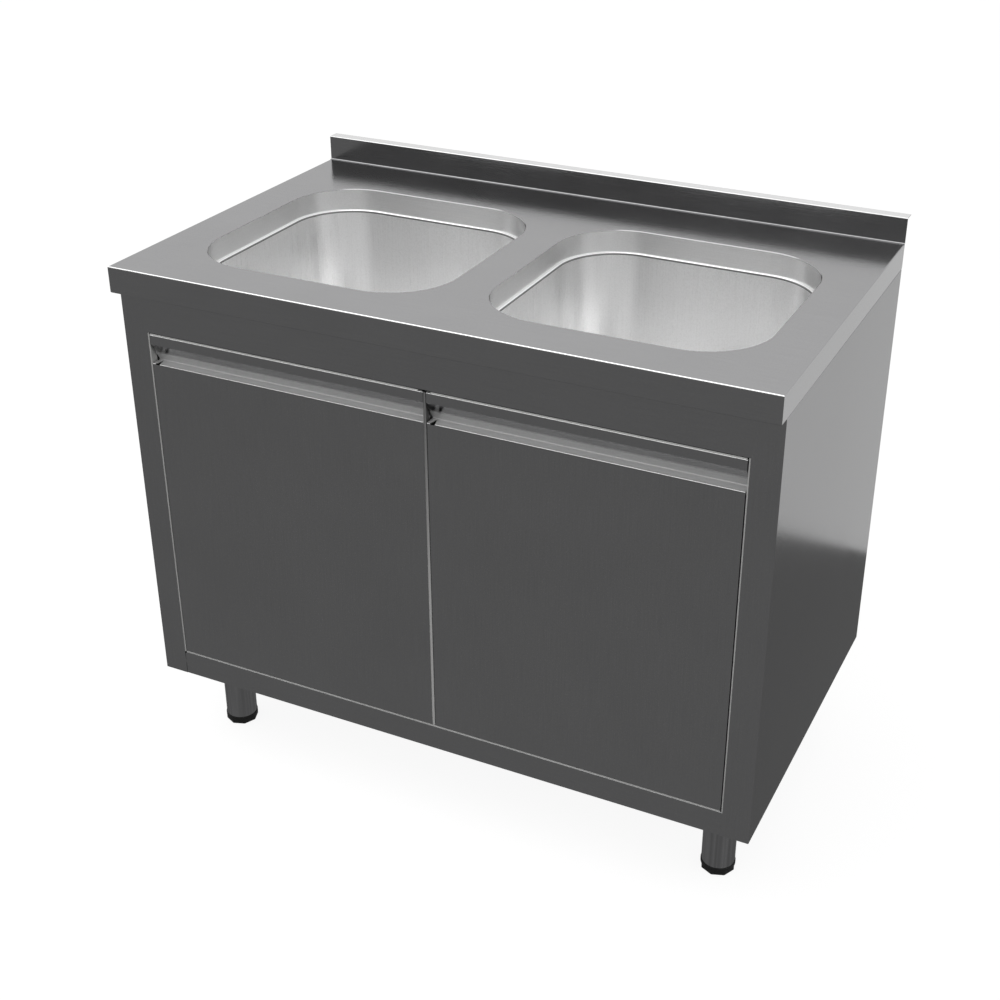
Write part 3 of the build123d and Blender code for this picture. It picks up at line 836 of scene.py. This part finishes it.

# ---- Studio ----
# A pale floor and white surroundings, one soft light overhead, and dim grey cards seen only in
# reflections, on the floor and on a wall behind the camera: a painted dark reflection for the
# steel fronts.
def rays_that_see_white(tree):
    """One where a camera, glossy or transmission ray looks, and zero for soft light."""
    path = tree.nodes.new("ShaderNodeLightPath")
    total = path.outputs["Is Camera Ray"]
    for name in ("Is Glossy Ray", "Is Transmission Ray"):
        larger = tree.nodes.new("ShaderNodeMath")
        larger.operation = "MAXIMUM"
        tree.links.new(total, larger.inputs[0])
        tree.links.new(path.outputs[name], larger.inputs[1])
        total = larger.outputs[0]
    return total


world = bpy.data.worlds.new("studio")
world.use_nodes = True
bpy.context.scene.world = world
background = world.node_tree.nodes["Background"]
background.inputs["Color"].default_value = (1.0, 1.0, 1.0, 1.0)
room_light = 0.55  # what the white room sheds on matt surfaces
strength = world.node_tree.nodes.new("ShaderNodeMath")
strength.operation = "MULTIPLY_ADD"
strength.inputs[1].default_value = 1.0 - room_light
strength.inputs[2].default_value = room_light
world.node_tree.links.new(rays_that_see_white(world.node_tree), strength.inputs[0])
world.node_tree.links.new(strength.outputs[0], background.inputs["Strength"])


def flat_card(name, corners_of_card):
    """One flat face through four points."""
    mesh = bpy.data.meshes.new(name)
    mesh.from_pydata(corners_of_card, [], [(0, 1, 2, 3)])
    card = bpy.data.objects.new(name, mesh)
    bpy.context.collection.objects.link(card)
    return card


reach = 20
floor_corners = [(-reach, -reach, 0), (reach, -reach, 0), (reach, reach, 0), (-reach, reach, 0)]
floor = flat_card("floor", floor_corners)
floor_paint = bpy.data.materials.new("floor_paint")
floor_paint.use_nodes = True
paint = floor_paint.node_tree
paint_surface = paint.nodes["Principled BSDF"]
paint_surface.inputs["Base Color"].default_value = (0.20, 0.20, 0.20, 1.0)
paint_surface.inputs["Roughness"].default_value = 0.9
paint_surface.inputs["Specular IOR Level"].default_value = 0.0
paint_surface.inputs["Emission Color"].default_value = (0.9, 0.9, 0.9, 1.0)
paint.links.new(rays_that_see_white(paint), paint_surface.inputs["Emission Strength"])
floor.data.materials.append(floor_paint)

# Dim grey glowing cards seen only in reflections: a painted dark reflection for the steel fronts.
dark_reflection_glow = bpy.data.materials.new("dark_reflection_cards")
dark_reflection_glow.use_nodes = True
dark_reflection_surface = dark_reflection_glow.node_tree.nodes["Principled BSDF"]
dark_reflection_surface.inputs["Base Color"].default_value = (0.0, 0.0, 0.0, 1.0)
dark_reflection_surface.inputs["Specular IOR Level"].default_value = 0.0
dark_reflection_surface.inputs["Emission Color"].default_value = (0.215, 0.215, 0.215, 1.0)
dark_reflection_surface.inputs["Emission Strength"].default_value = 1.0
room_left, floor_right, wall_right = -5.0, 3.0, 2.0
room_front, floor_rear = -3.6, 0.815
above_floor, wall_top = 0.001, 4.5
floor_part = [
    (room_left, room_front, above_floor),
    (floor_right, room_front, above_floor),
    (floor_right, floor_rear, above_floor),
    (room_left, floor_rear, above_floor),
]
wall_part = [
    (room_left, room_front, 0),
    (wall_right, room_front, 0),
    (wall_right, room_front, wall_top),
    (room_left, room_front, wall_top),
]
dark_reflection_floor = flat_card("dark_reflection_floor", floor_part)
dark_reflection_wall = flat_card("dark_reflection_wall", wall_part)
for card in (dark_reflection_floor, dark_reflection_wall):
    card.data.materials.append(dark_reflection_glow)
    card.visible_camera = False
    card.visible_diffuse = False
    card.visible_shadow = False
    card.visible_transmission = False

softbox = bpy.data.lights.new("softbox", "AREA")
softbox.shape = "RECTANGLE"
softbox.size = 3.2
softbox.size_y = 2.4
softbox.energy = 26.0
softbox_stand = bpy.data.objects.new("softbox", softbox)
softbox_stand.location = (-0.6, -1.2, 2.8)
bpy.context.collection.objects.link(softbox_stand)
aim = Vector((0.0, 0.0, 0.6)) - softbox_stand.location
softbox_stand.rotation_euler = aim.to_track_quat("-Z", "Y").to_euler()

# ---- Camera ----
# Its place, direction and lens are solved from the corners of the worktop, the cupboard
# and the doors in the photograph.
turn, rise, roll = 0.440168696, 0.485924228, 0.00613081
back = Vector((math.sin(turn) * math.cos(rise), -math.cos(turn) * math.cos(rise), math.sin(rise)))
level_right = Vector((math.cos(turn), math.sin(turn), 0.0))
level_up = back.cross(level_right)
right = math.cos(roll) * level_right + math.sin(roll) * level_up
up = -math.sin(roll) * level_right + math.cos(roll) * level_up
picture = 1000.0  # width and height of the photograph
focal_length = 1554.27312  # in its pixels, as are the column and row of the axis
axis_column, axis_row = 531.970461, 478.25151
lens = bpy.data.cameras.new("camera")
lens.sensor_width = 36.0
lens.lens = focal_length / picture * lens.sensor_width
lens.shift_x = (picture / 2 - axis_column) / picture
lens.shift_y = (axis_row - picture / 2) / picture
camera = bpy.data.objects.new("camera", lens)
eye = (0.941989, -1.948002, 1.610091)
facing = Matrix((right, up, back)).transposed().to_4x4()
camera.matrix_world = Matrix.Translation(eye) @ facing
bpy.context.collection.objects.link(camera)
bpy.context.scene.camera = camera
bpy.context.scene.view_settings.view_transform = "Standard"
